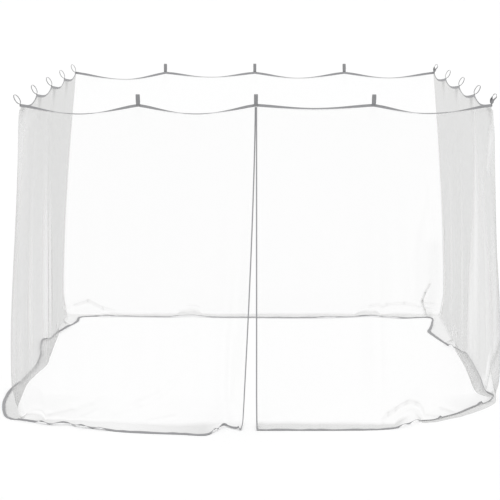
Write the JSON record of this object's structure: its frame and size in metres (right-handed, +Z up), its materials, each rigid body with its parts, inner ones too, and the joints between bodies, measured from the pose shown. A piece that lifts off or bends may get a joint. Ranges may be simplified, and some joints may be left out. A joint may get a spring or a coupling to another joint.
{
  "type": "gazebo mosquito net",
  "caption": "Sheer hanging net for a square gazebo: walls on strap loops, a doorway slit in the front wall, folded tape along every edge and the hem spread on the floor.",
  "frame": {"origin": "where the rail bears inside the middle loop of the front wall, at the top of the loop", "axes": "+X to the right along the front wall seen from outside, +Y from the front wall into the room, +Z up"},
  "size_m": [3.4569, 3.3742, 2.1856],
  "materials": {
    "netting": "sheer fine knitted polyester mesh, matt",
    "binding_tape": "plain woven tape, folded and stitched, matt",
    "strap": "ribbed woven webbing, matt"
  },
  "bodies": {
    "root": {"net_front_right": "netting", "top_tape_front_right": "binding_tape", "hem_tape_front_right": "binding_tape", "door_tape_front_right": "binding_tape", "net_right": "netting", "top_tape_right": "binding_tape", "hem_tape_right": "binding_tape", "net_back": "netting", "top_tape_back": "binding_tape", "hem_tape_back": "binding_tape", "net_left": "netting", "top_tape_left": "binding_tape", "hem_tape_left": "binding_tape", "net_front_left": "netting", "top_tape_front_left": "binding_tape", "hem_tape_front_left": "binding_tape", "door_tape_front_left": "binding_tape", "loop_front_middle": "strap", "loop_front_right": "strap", "loop_corner_front_right": "strap", "loop_right_front": "strap", "loop_right_middle": "strap", "loop_right_back": "strap", "loop_corner_back_right": "strap", "loop_back_right": "strap", "loop_back_middle": "strap", "loop_back_left": "strap", "loop_corner_back_left": "strap", "loop_left_back": "strap", "loop_left_middle": "strap", "loop_left_front": "strap", "loop_corner_front_left": "strap", "loop_front_left": "strap"}
  },
  "joints": []
}
